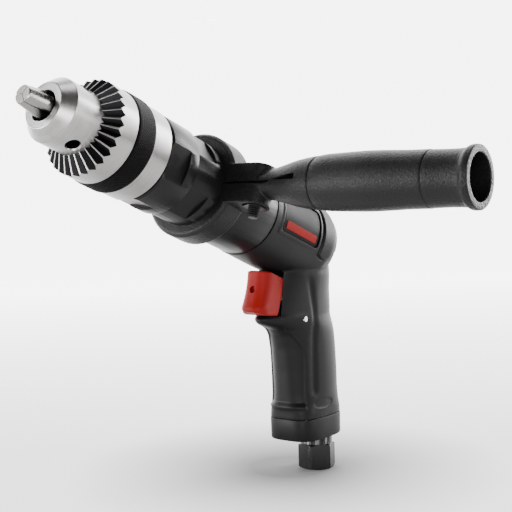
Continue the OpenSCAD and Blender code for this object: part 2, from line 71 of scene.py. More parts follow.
# Small turns about their own axis keep the points of round solids off each other in cuts.
ROD_TURN = Matrix.Rotation(math.radians(0.9), 4, "X")
CHUCK_TURN = Matrix.Rotation(math.radians(0.7), 4, "X")


# Settings.


class DrillLooks(bpy.types.PropertyGroup):
    """Colours and finishes a user would change."""

    plastic: FloatVectorProperty(name="Housing black", description="Colour of the moulded housing",
                                 default=(0.003, 0.003, 0.0032), subtype="COLOR", min=0, max=1)
    trigger: FloatVectorProperty(name="Trigger red", description="Colour of the trigger",
                                 default=(0.13, 0.0022, 0.0016), subtype="COLOR", min=0, max=1)
    steel: FloatVectorProperty(name="Chuck steel", description="Colour of the turned steel",
                               default=(0.28, 0.277, 0.27), subtype="COLOR", min=0, max=1)
    oxide: FloatVectorProperty(name="Black oxide", description="Colour of the blackened steel",
                               default=(0.004, 0.004, 0.0043), subtype="COLOR", min=0, max=1)
    grain: FloatProperty(name="Grip grain", description="Depth of the grain on the side grip",
                         default=0.5, subtype="FACTOR", min=0, max=1)
    knurls: IntProperty(name="Knurl lines", description="Lines around the knurled band",
                        default=112, min=60, max=240)


class DrillSizes(bpy.types.PropertyGroup):
    """Sizes of visible detail in the skin."""

    voxel: FloatProperty(name="Skin voxel", description="Cell size of the blended housing skin",
                         default=0.5 * MM, unit="LENGTH", min=0.2 * MM, max=2 * MM)
    panel: FloatProperty(name="Finger recess", description="Depth of the recess for the fingers",
                         default=0.95 * MM, unit="LENGTH", min=0, max=2 * MM)
    flute: FloatProperty(name="Side flute", description="Depth of the flute along the grip",
                         default=1.0 * MM, unit="LENGTH", min=0, max=2 * MM)
    knurl: FloatProperty(name="Knurl height", description="Height of the knurl on the chuck",
                         default=0.42 * MM, unit="LENGTH", min=0, max=1 * MM)
    lens: FloatProperty(name="Lens", description="Focal length of the camera, millimetres",
                        default=73.2, min=20, max=200)


# Mesh helpers.


def mesh_object(name, verts, faces, matrix):
    """New object from points that matrix brings into the row frame, in metres."""
    me = bpy.data.meshes.new(name)
    me.from_pydata([matrix @ Vector(v) for v in verts], [], faces)
    me.update()
    ob = bpy.data.objects.new(name, me)
    bpy.context.scene.collection.objects.link(ob)
    return ob


def rounded(points, steps=6):
    """Closed outline of (a, b) or (a, b, radius) points with its corners rounded."""
    out = []
    n = len(points)
    for i, p in enumerate(points):
        c = Vector(p[:2])
        r = p[2] if len(p) > 2 else 0
        if r <= 0:
            out.append(c)
            continue
        a = Vector(points[i - 1][:2]) - c
        b = Vector(points[(i + 1) % n][:2]) - c
        half = a.angle(b) / 2
        cut_back = min(r / math.tan(half), a.length * 0.48, b.length * 0.48)
        a.normalize()
        b.normalize()
        p0, p1 = c + a * cut_back, c + b * cut_back
        for k in range(steps + 1):
            t = k / steps
            out.append(p0 * (1 - t) ** 2 + c * 2 * t * (1 - t) + p1 * t ** 2)
    return out


def smooth_line(points, per=8):
    """Catmull-Rom curve through (a, b) points."""
    pts = [Vector(p) for p in points]
    pts = [pts[0] * 2 - pts[1]] + pts + [pts[-1] * 2 - pts[-2]]
    out = []
    for i in range(1, len(pts) - 2):
        p0, p1, p2, p3 = pts[i - 1:i + 3]
        for k in range(per):
            t = k / per
            out.append(0.5 * ((p1 * 2) + (p2 - p0) * t + (p0 * 2 - p1 * 5 + p2 * 4 - p3) * t ** 2
                              + (p1 * 3 - p0 - p2 * 3 + p3) * t ** 3))
    out.append(pts[-2])
    return out


def arc(middle, radius, degrees):
    """Points on a circle around (0, middle)."""
    turns = [math.radians(d) for d in degrees]
    return [(radius * math.cos(a), middle + radius * math.sin(a)) for a in turns]


def face_out(ob):
    """Turns the faces of a closed mesh outwards."""
    bm = bmesh.new()
    bm.from_mesh(ob.data)
    bmesh.ops.remove_doubles(bm, verts=bm.verts, dist=1e-7)
    bmesh.ops.recalc_face_normals(bm, faces=bm.faces)
    bm.to_mesh(ob.data)
    bm.free()


def solid(name, verts, faces, matrix):
    """New object of a closed mesh, with its faces outwards."""
    ob = mesh_object(name, verts, faces, matrix)
    face_out(ob)
    return ob


def lathe(name, profile, matrix, axis="X", seg=128, closed=False):
    """Solid of revolution about X or Y from (along, radius) points."""
    verts, faces, rings = [], [], []
    for a, r in profile:
        start = len(verts)
        count = 1 if r < 1e-6 else seg
        for k in range(count):
            t = 2 * math.pi * k / seg
            u, v = r * math.cos(t), r * math.sin(t)
            verts.append((a, u, v) if axis == "X" else (u, a, -v))
        rings.append((start, count))
    pairs = list(zip(rings, rings[1:]))
    if closed:
        pairs.append((rings[-1], rings[0]))
    for (s0, c0), (s1, c1) in pairs:
        for k in range(seg):
            j = (k + 1) % seg
            if c0 == 1 and c1 == 1:
                continue
            if c0 == 1:
                faces.append((s0, s1 + k, s1 + j))
            elif c1 == 1:
                faces.append((s0 + k, s1, s0 + j))
            else:
                faces.append((s0 + k, s1 + k, s1 + j, s0 + j))
    return solid(name, verts, faces, matrix)


def rod(name, start, end, radius, matrix, seg=64):
    """Cylinder between two points in millimetres."""
    a, b = Vector(start), Vector(end)
    turn = (b - a).to_track_quat("X", "Z").to_matrix().to_4x4() @ ROD_TURN
    h = (b - a).length
    return lathe(name, [(0, 0), (0, radius), (h, radius), (h, 0)],
                 matrix @ Matrix.Translation(a) @ turn, seg=seg)


def prism(name, outline, low, high, matrix, axis="Y"):
    """Outline of (a, b) points extruded along an axis of the frame."""
    def spot(p, h):
        return {"Y": (p[0], h, p[1]), "Z": (p[0], p[1], h), "X": (h, p[0], p[1])}[axis]
    n = len(outline)
    verts = [spot(p, h) for h in (low, high) for p in outline]
    faces = [tuple(range(n)), tuple(range(2 * n - 1, n - 1, -1))]
    faces += [(i, n + i, n + (i + 1) % n, (i + 1) % n) for i in range(n)]
    return solid(name, verts, faces, matrix)


def loft(name, rings, matrix):
    """Closed skin through rings of equal point count."""
    n = len(rings[0])
    verts = [p for r in rings for p in r]
    faces = [tuple(range(n)), tuple(range(len(verts) - 1, len(verts) - n - 1, -1))]
    for k in range(len(rings) - 1):
        for i in range(n):
            j = (i + 1) % n
            faces.append((k * n + i, (k + 1) * n + i, (k + 1) * n + j, k * n + j))
    return solid(name, verts, faces, matrix)


def bake(ob):
    """Applies the modifiers of ob."""
    dg = bpy.context.evaluated_depsgraph_get()
    me = bpy.data.meshes.new_from_object(ob.evaluated_get(dg))
    ob.modifiers.clear()
    ob.data = me
    return ob


def drop(ob):
    """Removes an object that is used up."""
    bpy.data.objects.remove(ob)


def join(target, other, how="UNION"):
    """Boolean of two solids, worked in millimetres, where the solver is surest.

    The second solid is used up.
    """
    for ob in (target, other):
        ob.data.transform(Matrix.Scale(1 / MM, 4))
    m = target.modifiers.new("join", "BOOLEAN")
    m.object = other
    m.operation = how
    m.solver = "EXACT"
    bake(target)
    target.data.transform(Matrix.Scale(MM, 4))
    drop(other)
    return target


def cut(target, *tools):
    """Takes solids away from target, one after another."""
    for tool in tools:
        join(target, tool, "DIFFERENCE")


def melt(ob, voxel, rounds):
    """Fuses overlapping shells of ob into one skin and softens its edges."""
    m = ob.modifiers.new("fuse", "REMESH")
    m.mode = "VOXEL"
    m.voxel_size = voxel
    s = ob.modifiers.new("soften", "SMOOTH")
    s.factor = 0.5
    s.iterations = rounds
    return bake(ob)


def together(name, *obs):
    """One object with the shells of several."""
    verts, faces = [], []
    for ob in obs:
        base = len(verts)
        verts += [v.co.copy() for v in ob.data.vertices]
        faces += [tuple(base + i for i in p.vertices) for p in ob.data.polygons]
        drop(ob)
    return mesh_object(name, verts, faces, Matrix.Identity(4))


def shade(ob, angle):
    """Smooth shading, sharp at edges that turn by more than angle, in degrees."""
    me = ob.data
    for p in me.polygons:
        p.use_smooth = True
    me.set_sharp_from_angle(angle=math.radians(angle))
    return ob


def place(ob, body, material, slot, *nodes):
    """Gives a piece its material and hangs it on its body in place of CAD nodes."""
    ob.data.materials.clear()
    ob.data.materials.append(material)
    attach(ob, body)
    if nodes:
        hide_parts(*nodes)


def paint(material, *nodes, bevel=0.0):
    """Gives CAD nodes a material, and soft edges where bevel is set, in millimetres."""
    for n in nodes:
        ob = NODES[n]
        ob.data.materials.clear()
        ob.data.materials.append(material)
        if bevel:
            w = ob.modifiers.new("weld", "WELD")
            w.merge_threshold = 1e-6
            b = ob.modifiers.new("edge", "BEVEL")
            b.width = bevel * MM
            b.segments = 2
            b.limit_method = "ANGLE"
            b.angle_limit = math.radians(35)
            b.harden_normals = True


# Material helpers.


class Tree:
    """Short hand for the shader nodes of one material."""

    SOCKETS = {"base": "Base Color", "metal": "Metallic", "rough": "Roughness",
               "spec": "Specular IOR Level", "sheen": "Sheen Weight"}

    def __init__(self, name):
        self.mat = bpy.data.materials.new(name)
        self.mat.use_nodes = True
        self.nt = self.mat.node_tree
        self.bsdf = self.nt.nodes["Principled BSDF"]

    def node(self, kind, **values):
        n = self.nt.nodes.new(kind)
        for k, v in values.items():
            setattr(n, k, v)
        return n

    def link(self, a, b):
        self.nt.links.new(a, b)

    def set(self, **values):
        """Sets values that are the same all over the surface."""
        for k, v in values.items():
            socket = self.bsdf.inputs[self.SOCKETS[k]]
            socket.default_value = (*v, 1.0) if k == "base" else v
        return self

    def to(self, name, value):
        """Leads a value to a socket of the shader."""
        self.link(value, self.bsdf.inputs[name])

    def fed(self, name):
        """The value that a socket of the shader is fed with."""
        return self.bsdf.inputs[name].links[0].from_socket

    def math(self, how, a, b=None):
        n = self.node("ShaderNodeMath", operation=how)
        for i, v in enumerate((a, b)):
            if v is None:
                continue
            if isinstance(v, (int, float)):
                n.inputs[i].default_value = v
            else:
                self.link(v, n.inputs[i])
        return n.outputs[0]

    def weigh(self, a, share_a, b, share_b):
        """Sum of two values with their shares."""
        return self.math("ADD", self.math("MULTIPLY", a, share_a),
                         self.math("MULTIPLY", b, share_b))

    def both(self, a, b):
        return self.math("MULTIPLY", a, b)

    def row(self, **mapping):
        """Coordinates in the row frame in millimetres, or in one that mapping gives."""
        tc = self.node("ShaderNodeTexCoord")
        mp = self.node("ShaderNodeMapping", vector_type="TEXTURE")
        mp.inputs["Scale"].default_value = (MM, MM, MM)
        for name, v in mapping.items():
            mp.inputs[name].default_value = v
        self.link(tc.outputs["Object"], mp.inputs["Vector"])
        return mp.outputs[0]

    def spindle(self):
        """Coordinates in the spindle frame in millimetres: vector, x, radius, angle."""
        v = self.row(Location=ORIGIN, Rotation=(0, -RAKE, 0))
        sp = self.node("ShaderNodeSeparateXYZ")
        self.link(v, sp.inputs[0])
        x, y, z = sp.outputs
        r = self.math("SQRT", self.math("ADD", self.both(y, y), self.both(z, z)))
        return v, x, r, self.math("ARCTAN2", z, y)

    def noise(self, vector, scale, detail, rough=0.5):
        n = self.node("ShaderNodeTexNoise")
        n.inputs["Scale"].default_value = scale
        n.inputs["Detail"].default_value = detail
        n.inputs["Roughness"].default_value = rough
        self.link(vector, n.inputs["Vector"])
        return n.outputs["Fac"]

    def cells(self, vector, scale):
        n = self.node("ShaderNodeTexVoronoi")
        n.inputs["Scale"].default_value = scale
        self.link(vector, n.inputs["Vector"])
        return n.outputs["Distance"]

    def spread(self, value, low, high, a=0.3, b=0.7):
        """Maps value from a..b to low..high."""
        n = self.node("ShaderNodeMapRange")
        for i, v in enumerate((a, b, low, high)):
            n.inputs[i + 1].default_value = v
        self.link(value, n.inputs[0])
        return n.outputs[0]

    def mix(self, fac, a, b):
        """Colour between a and b, each a colour or a socket."""
        n = self.node("ShaderNodeMix", data_type="RGBA")
        self.link(fac, n.inputs[0])
        for sock, v in ((n.inputs[6], a), (n.inputs[7], b)):
            if hasattr(v, "is_linked"):
                self.link(v, sock)
            else:
                sock.default_value = (*v, 1.0)
        return n.outputs[2]

    def bump(self, height, strength, distance):
        """Adds a bump, on top of one that is there already."""
        n = self.node("ShaderNodeBump")
        n.inputs["Strength"].default_value = strength
        n.inputs["Distance"].default_value = distance * MM
        self.link(height, n.inputs["Height"])
        old = self.bsdf.inputs["Normal"]
        if old.is_linked:
            self.link(old.links[0].from_socket, n.inputs["Normal"])
        self.link(n.outputs[0], old)
        return self


def darker(colour, share):
    return tuple(c * share for c in colour)


def turned(name, base, rough, metal=1.0, lines=0.05, spec=0.5):
    """Metal turned on a lathe: fine rings about the spindle and faint smudges."""
    t = Tree(name).set(base=base, metal=metal, spec=spec)
    v, x, r, ang = t.spindle()
    c = t.node("ShaderNodeCombineXYZ")
    for i, (value, scale) in enumerate(((x, 3.2), (r, 3.2), (ang, 0.35))):
        t.link(t.math("MULTIPLY", value, scale), c.inputs[i])
    rings = t.noise(c.outputs[0], 1.0, 4.0, 0.65)
    smudge = t.noise(v, 0.13, 4.0, 0.6)
    wear = t.weigh(rings, 0.65, smudge, 0.35)
    t.to("Roughness", t.spread(wear, *rough))
    t.to("Base Color", t.mix(t.spread(wear, 0.0, 1.0, 0.36, 0.62), darker(base, 0.66), base))
    return t.bump(rings, lines, 0.05)


def cast(name, base, rough, metal=0.0, grain=0.08, scale=3.0, spec=0.4):
    """Moulded or cast surface with a fine grain and a faint change of gloss."""
    t = Tree(name).set(base=base, metal=metal, spec=spec)
    v = t.row()
    fine = t.noise(v, scale, 3.0, 0.6)
    wide = t.noise(v, 0.06, 3.0)
    t.to("Roughness", t.spread(t.weigh(fine, 0.4, wide, 0.6), *rough))
    t.to("Base Color", t.mix(t.spread(wide, 0.0, 1.0), darker(base, 0.85), base))
    return t.bump(fine, grain, 0.12)


def grip_grain(base, depth):
    """Moulded plastic with a leather-like grain."""
    t = Tree("grip_grain").set(base=base, spec=0.12)
    v = t.row()
    warp = t.noise(v, 0.9, 2.0)
    cell = t.cells(v, 1.15)
    fine = t.noise(v, 2.2, 2.0)
    t.to("Roughness", t.spread(warp, 0.36, 0.5))
    t.bump(fine, depth, 0.12)
    return t.bump(t.math("ADD", cell, t.math("MULTIPLY", warp, 0.5)), depth, 0.25).mat


def sleeve_steel(steel, black):
    """Turned steel with painted shade in the tooth valleys and a black band under the knurl."""
    t = turned("sleeve_steel", steel, (0.24, 0.42), lines=0.08)
    _, x, r, _ = t.spindle()
    # Height above the cone of the teeth, which leans by its normal through one point of it.
    cone_x, cone_r, lean_x, lean_r = 84.05, 18.78, 0.857, 0.515
    above = t.weigh(t.math("SUBTRACT", x, cone_x), lean_x, t.math("SUBTRACT", r, cone_r), lean_r)
    # Painted shade: the tooth valleys, below the cone of the teeth, are coloured black.
    valley_shade = t.both(t.math("LESS_THAN", above, -0.12), t.math("LESS_THAN", r, 22.44))
    valley_shade = t.both(valley_shade, t.math("GREATER_THAN", x, 74.0))
    band = t.both(t.math("GREATER_THAN", x, 59.05), t.math("LESS_THAN", x, 70.85))
    # The band under the knurl is black like the knurl itself; the valleys add painted shade.
    band_black_and_valley_shade = t.math("MAXIMUM", valley_shade, band)
    t.to("Base Color", t.mix(band_black_and_valley_shade, t.fed("Base Color"), black))
    t.to("Roughness", t.math("ADD", t.fed("Roughness"), t.math("MULTIPLY", band_black_and_valley_shade, 0.14)))
    return t.mat


def chuck_steel(steel):
    """Turned steel, with painted shade in the bores of jaws and key."""
    t = turned("chuck_steel", steel, (0.24, 0.4))
    _, x, r, _ = t.spindle()
    # Painted shade: all within 14.2 mm of the axis and behind x 100.5, the bores of jaws and key,
    # is near black.
    deep = t.both(t.math("LESS_THAN", r, 14.2), t.math("LESS_THAN", x, 100.5))
    t.to("Base Color", t.mix(deep, t.fed("Base Color"), (0.02, 0.02, 0.02)))
    return t.mat


def felt(base):
    """Felt: soft fibres in all directions."""
    t = Tree("felt").set(base=base, rough=0.9, sheen=0.3)
    v = t.row()
    t.to("Base Color", t.mix(t.noise(v, 2.2, 4.0, 0.7), darker(base, 0.7), base))
    return t.bump(t.noise(v, 5.0, 3.0, 0.7), 0.5, 0.3).mat


# Finishes: how each is made, its colour or the setting that holds it, the range of its
# roughness, and what else it needs.
FINISHES = {
    "housing_plastic": (cast, "plastic", (0.36, 0.5), {"spec": 0.11}),
    "inlet_black": (cast, (0.008, 0.008, 0.0085), (0.16, 0.3), {"grain": 0.04, "spec": 0.25}),
    "rubber": (cast, (0.012, 0.012, 0.012), (0.6, 0.75), {"grain": 0.2}),
    "vane": (cast, (0.2, 0.11, 0.05), (0.45, 0.6), {"grain": 0.2}),
    "badge_face": (cast, (0.005, 0.005, 0.0053), (0.36, 0.48), {"grain": 0.03, "spec": 0.04}),
    "badge_red": (cast, "trigger", (0.42, 0.54), {"grain": 0.02, "spec": 0.05}),
    "trigger_red": (cast, "trigger", (0.46, 0.58), {"grain": 0.05, "spec": 0.08}),
    "knurl_black": (cast, (0.002, 0.002, 0.0021), (0.24, 0.36), {"grain": 0.05, "spec": 0.025}),
    "jaw_steel": (cast, (0.18, 0.177, 0.172), (0.2, 0.34),
                  {"metal": 1.0, "grain": 0.02, "scale": 1.0}),
    "bolt_black": (cast, "oxide", (0.3, 0.45), {"grain": 0.03, "spec": 0.08}),
    "black_oxide": (turned, "oxide", (0.24, 0.38), {"metal": 0.0, "spec": 0.12}),
    "machined_steel": (turned, (0.36, 0.36, 0.37), (0.25, 0.45), {}),
    "pin_steel": (turned, (0.7, 0.7, 0.7), (0.15, 0.3), {}),
    "brass": (turned, (0.62, 0.43, 0.16), (0.22, 0.4), {}),
    "alloy": (turned, (0.55, 0.55, 0.56), (0.3, 0.5), {}),
}
MADE = {}


def finish(name):
    """The named finish, made on first use."""
    if name not in MADE:
        make, base, rough, more = FINISHES[name]
        if isinstance(base, str):
            base = tuple(getattr(bpy.context.scene.drill_looks, base))
        MADE[name] = make(name, base, rough, **more).mat
    return MADE[name]


# Shapes, in millimetres.

# Grip and foot in the row frame: height, back, front, share of the half width, narrowing of the
# front, softness of the corners.
GRIP = [(33, -9.4, 31.2, 0.98, 0.1, 0.58), (37, -9.6, 31.3, 0.98, 0.1, 0.62),
        (41, -9.8, 31.6, 0.99, 0.12, 0.74), (47, -10, 31.9, 1, 0.12, 0.84),
        (60, -9.8, 32.6, 1, 0.14, 0.84), (73, -9.1, 34.1, 1, 0.18, 0.84),
        (80, -8.3, 36.3, 1, 0.24, 0.84), (84, -7.6, 40.3, 1, 0.34, 0.84),
        (86.5, -7.2, 46.3, 1, 0.44, 0.84), (89, -6.7, 51.5, 1, 0.5, 0.84),
        (91.3, -6.2, 53.3, 1, 0.52, 0.84), (93.2, -5.8, 49.5, 1.02, 0.45, 0.84),
        (104, -4.2, 46.6, 1.06, 0.4, 0.84), (113, -3.2, 44, 1.12, 0.36, 0.84),
        (121, -2, 40, 1.1, 0.2, 0.84), (129, 1, 37, 1, 0.1, 0.84), (136, 6, 33, 0.8, 0, 0.84)]
CAP = [(21, -8.4, 30.1, 0.95, 0.1, 0.55), (21.25, -8.78, 30.48, 0.965, 0.1, 0.55),
       (21.8, -9, 30.7, 0.975, 0.1, 0.55), (32.5, -9.2, 31, 0.98, 0.1, 0.55),
       (32.85, -9.1, 30.9, 0.975, 0.1, 0.55), (33, -8.9, 30.7, 0.965, 0.1, 0.55)]
GRIP_HALF = 16.2
INLET_R = 8
# Barrel along the spindle: x, radius, rounding.
BARREL = [(-30, 0), (-30, 22.4), (-39, 22.9, 6), (-60, 23.4, 30), (-91, 23.4, 9),
          (-99.6, 20.4, 6), (-103.6, 13, 6), (-104.7, 5, 6), (-104.7, 0)]
# Badge recess on the barrel: x from, x to, z from, z to in the spindle frame, and its floor.
BADGE = (-78, -44, -7.5, 13.5)
BADGE_CORNER = 2.6
BADGE_FLOOR = 22.4
# Trigger in the row frame, the pocket around it and the height of the valve behind it.
TRIGGER = [(45.3, 92.8, 1), (37.6, 112, 1), (49.5, 116.7, 4), (57, 118.5, 4), (66, 118.5),
           (66, 97.6), (58.4, 95.4, 4), (54, 93.8, 5)]
TRIGGER_HALF = 8
POCKET = [(35.6, 92.5), (29, 112.3), (41.5, 117), (52, 118.9), (90, 118.9), (90, 92.5)]
POCKET_HALF = 8.15
VALVE_Z = 104.5
# Valve spring: its ends along x, and how much shorter it gets as the trigger is pulled.
SPRING_BACK, SPRING_FRONT, SPRING_GIVE = -1.0, 12.5, 7.2
# Chuck along the spindle: x, radius, rounding.
CHUCK = [(48.5, 0), (48.5, 20.74), (73, 20.74), (73, 12.5), (80, 12.5), (80, 15),
         (100.6, 15, 1.2), (105.8, 10.6, 0.6), (105.8, 0)]
CHUCK_MOUTH = [(80, 0), (80, 6.9), (105.5, 6.9), (106.2, 7.5), (106.2, 0)]
KEY_HOLE = [(9, 0), (9, 3.2), (14.25, 3.2), (15.2, 3.9), (18, 3.9), (18, 0)]
KEY_X = 91.5
# Jaws: tip and back of their form, radius, radius of their bore, slant, and their outer form.
JAW_TIP, JAW_BACK, JAW_R, JAW_BORE = 117.5, 57.5, 3.4, 3.52
JAW_TILT = math.radians(14)
JAW_WEDGE = [(0.17, 0), (20.17, -34.64), (20.17, 34.64)]
JAW_FORM = [(JAW_BACK, 0), (JAW_BACK, 14.1), (97.5, 14.1), (99, 7.2), (105.8, 6.15), (117, 4.5),
            (JAW_TIP, 4.05), (JAW_TIP, 0)]
# Knurled band: start and length along the spindle, mean and inner radius, turns of its slant.
KNURL_X, KNURL_LONG, KNURL_R, KNURL_INNER, KNURL_SLANT = 59.6, 10.7, 22.78, 22.6, 9.2
# Clamp of the side handle in the spindle frame: bolt and half width of the lug, lift of the grip.
BOLT_Y, LUG_HALF, HANDLE_LIFT = 37, 7.4, 0.9
CLAMP_RING = [(-7.5, 19), (-7.5, 25.5, 0.8), (-6.1, 27, 0.8), (5.8, 27, 0.8), (7.2, 25.5, 0.8),
              (7.2, 19)]
# Where the grip meets its root, and the spigot that it is pushed on.
ROOT_START, ROOT_END, SPIGOT_END, SPIGOT_R = 36, 72.4, 128, 9
ROOT = [(ROOT_START, 6.0), (44, 7.1), (50, 8.2), (60, 10.7), (66, 11.75), (ROOT_END, 12.5)]
SIDE_GRIP = [(ROOT_END, 12.5), (78, 13.0), (86, 13.27), (94, 13.46), (100, 13.5), (108, 13.27),
             (118, 12.85), (128.2, 12.7)]


def section(s, count=112):
    """One ring of the grip."""
    z, back, front, share, taper, soft = s
    c, a = (back + front) / 2, (front - back) / 2
    ring = []
    for i in range(count):
        t = 2 * math.pi * (i + 0.5) / count
        ct, st = math.cos(t), math.sin(t)
        w = share * GRIP_HALF * (1 - taper * max(0, ct))
        ring.append((c + a * math.copysign(abs(ct) ** soft, ct),
                     w * math.copysign(abs(st) ** soft, st), z))
    return ring


def between(rows, z):
    """Grip row at height z."""
    for p, q in zip(rows, rows[1:]):
        if z <= q[0]:
            t = (z - p[0]) / (q[0] - p[0])
            return tuple(a + (b - a) * t for a, b in zip(p, q))
    return rows[-1]


def badge_outline(inset):
    """Rounded outline of the badge."""
    x0, x1, z0, z1 = (v + s * inset for v, s in zip(BADGE, (1, -1, 1, -1)))
    r = BADGE_CORNER - inset
    return rounded([(x0, z0, r), (x1, z0, r), (x1, z1, r), (x0, z1, r)])


def barrel_rod(radius):
    """Round bar along the barrel, which gives the badge its curve."""
    return rod("tool", (-90, 0, 0), (-30, 0, 0), radius, SPINDLE, 192)


def on_barrel(name, outline, low, high):
    """Curved plate on the left of the barrel, between two radii."""
    plate = prism(name, outline, 10, 40, SPINDLE)
    join(plate, barrel_rod(high), "INTERSECT")
    cut(plate, barrel_rod(low))
    return shade(plate, 40)


def ease(x, low, high):
    """Smooth step from 0 at low to 1 at high."""
    t = min(1, max(0, (x - low) / (high - low)))
    return t * t * (3 - 2 * t)


def span(x, a, b, c, d):
    """1 from b to c, with smooth steps to 0 at a and d."""
    return ease(x, a, b) * (1 - ease(x, c, d))


def ridge(x, middle, wide):
    """Bell of height 1 at middle."""
    return math.exp(-((x - middle) / wide) ** 2)


def grip_detail(p, n, sizes):
    """Offset along the normal n at point p of the housing, in millimetres."""
    off = 0.0
    if p.z < 92:
        # Finger recess: its edge runs down the grip and sweeps forward under the lip.
        edge = 26.6 + 13.5 * max(0, (p.z - 66) / 20) ** 2
        front = ease(p.x - edge, -0.6, 0.6)
        off -= sizes.panel / MM * front * span(p.z, 41, 43, 83, 88)
        # Bead across the front, above the foot.
        off += 0.7 * front * ridge(p.z, 40, 1.1)
    if n.y * n.y > 0.2:
        # Flute along the side, leaning forward beside the trigger.
        middle = 21.3 + 0.2 * max(0, p.z - 86)
        run = span(p.z, 45, 50, 106, 116)
        off -= sizes.flute / MM * ease(abs(n.y), 0.45, 0.8) * run * ridge(p.x, middle, 1.9)
        if n.y > 0:
            # Bare oval recess near the foot.
            oval = math.hypot((p.x - 14.5) / 8.5, (p.z - 41.2) / 3.0)
            off -= 0.4 * (1 - ease(oval, 0.82, 1.0))
    q = TO_SPINDLE @ (p * MM)
    if q.y > 5 and q.x > -82:
        # Thin rim around the badge.
        out = max(BADGE[0] - q.x, q.x - BADGE[1], BADGE[2] - q.z, q.z - BADGE[3])
        off += 0.4 * span(out, -1.0, 0.0, 1.2, 1.9)
    if q.y > 0 and q.x < -79:
        # Rear pad with a groove around it.
        low = -27 + 0.15 * (q.x + 86) ** 2
        up = math.degrees(math.atan2(q.z, q.y)) - low
        deep = min(q.x + 97.5, -81.4 - q.x, 0.4 * up)
        off += 0.75 * ease(deep, -0.2, 0.7) - 0.45 * span(deep, -1.5, -0.7, -0.6, 0.1)
    return off


def add_detail(ob, sizes):
    """Moves the housing's skin along its normals by the grip detail."""
    me = ob.data
    moved = [v.co + v.normal * (grip_detail(v.co / MM, v.normal, sizes) * MM)
             for v in me.vertices]
    for v, co in zip(me.vertices, moved):
        v.co = co
    me.update()


def trigger_ring(z):
    """Outline of the trigger at height z: round nose, hollow front line and soft lower edge."""
    soft, lower_edge, nose = 2.6, 98.9, 7.4
    sunk = min(soft, max(0, lower_edge - z))
    front = 57.25 + 0.274 * (108 - z) + 0.013 * (z - 110) ** 2 - soft
    front += math.sqrt(soft ** 2 - sunk ** 2)
    half = []
    for i in range(31):
        a = math.radians(3 * i)
        half.append((front - nose + nose * math.sin(a), 0.6 + nose * math.cos(a), z))
    other = [(x, -y, z) for x, y, z in reversed(half)]
    return [(20, -TRIGGER_HALF, z), (20, TRIGGER_HALF, z)] + half + other


def coil_rings(turns=8, wire=0.4, radius=3.5):
    """Rings along the wire of the valve spring."""
    steps, sides = turns * 28, 10
    rings = []
    for i in range(steps + 1):
        s = i / steps
        a = 2 * math.pi * turns * s
        x = SPRING_BACK + wire + (SPRING_FRONT - SPRING_BACK - 2 * wire) * s
        ring = []
        for k in range(sides):
            b = 2 * math.pi * k / sides
            r = radius + wire * math.cos(b)
            ring.append((x + wire * math.sin(b), r * math.cos(a), VALVE_Z + r * math.sin(a)))
        rings.append(ring)
    return rings


def knurl_band(lines, height):
    """Closed band with two sets of slanted ridges around it."""
    along = 34
    turns = [2 * math.pi * k / (lines * 6) for k in range(lines * 6)]
    around = len(turns)
    verts, faces = [], []
    for i in range(along + 1):
        s = i / along
        slant = KNURL_SLANT * s * math.pi
        rim = span(s, 0, 0.05, 0.95, 1)
        for a in turns:
            w = math.cos(lines * a + slant) + 0.45 * math.cos(lines * a - slant)
            r = KNURL_R + rim * height / MM * (0.5 + 0.34 * w)
            verts.append((KNURL_X + KNURL_LONG * s, r * math.cos(a), r * math.sin(a)))
    for x in (KNURL_X + KNURL_LONG, KNURL_X):
        verts += [(x, KNURL_INNER * math.cos(a), KNURL_INNER * math.sin(a)) for a in turns]
    rows = along + 3
    for i in range(rows):
        low, high = i * around, (i + 1) % rows * around
        for k in range(around):
            j = (k + 1) % around
            faces.append((low + k, low + j, high + j, high + k))
    return solid("knurl_band", verts, faces, SPINDLE)


# Operators.


class Maker:
    """Shared options of the operators."""

    bl_options = {"REGISTER", "UNDO"}


class DRILL_OT_housing(Maker, bpy.types.Operator):
    """Blends barrel and grip into one moulded skin, with its bore, pocket and recesses"""

    bl_idname = "drill.housing"
    bl_label = "Housing"

    def execute(self, context):
        sizes = context.scene.drill_sizes
        low, high, steps = GRIP[0][0], GRIP[-1][0], 120
        heights = [low + (high - low) * i / steps for i in range(steps + 1)]
        grip = loft("grip_raw", [section(between(GRIP, z)) for z in heights], ROW)
        barrel = lathe("barrel_raw", rounded(BARREL), SPINDLE, seg=192)
        skin = melt(together("housing_skin", grip, barrel), sizes.voxel, 12)
        add_detail(skin, sizes)
        ahead = prism("tool", [(-37.9, -40), (-20, -40), (-20, 40), (-37.9, 40)], -40, 40, SPINDLE)
        bore = rod("tool", (-92, 0, 0), (-20, 0, 0), 20.2, SPINDLE, 128)
        pocket = prism("tool", POCKET, -POCKET_HALF, POCKET_HALF, ROW)
        valve = rod("tool", (-1, 0, VALVE_Z), (39, 0, VALVE_Z), 4.8, ROW)
        inlet = rod("tool", (0, 0, 20), (0, 0, 43), INLET_R, ROW)
        air = rod("tool", (2, 0, 33), (2, 0, VALVE_Z), 4, ROW)
        pin = rod("tool", (29.4, -30, 89.8), (29.4, 30, 89.8), 1.5, ROW)
        inlay = prism("tool", badge_outline(0), 10, 40, SPINDLE)
        cut(inlay, barrel_rod(BADGE_FLOOR))
        cut(skin, ahead, bore, pocket, valve, inlet, air, pin, inlay)
        place(shade(skin, 40), "housing", finish("housing_plastic"), "black_plastic",
              "motor_housing")
        return {"FINISHED"}


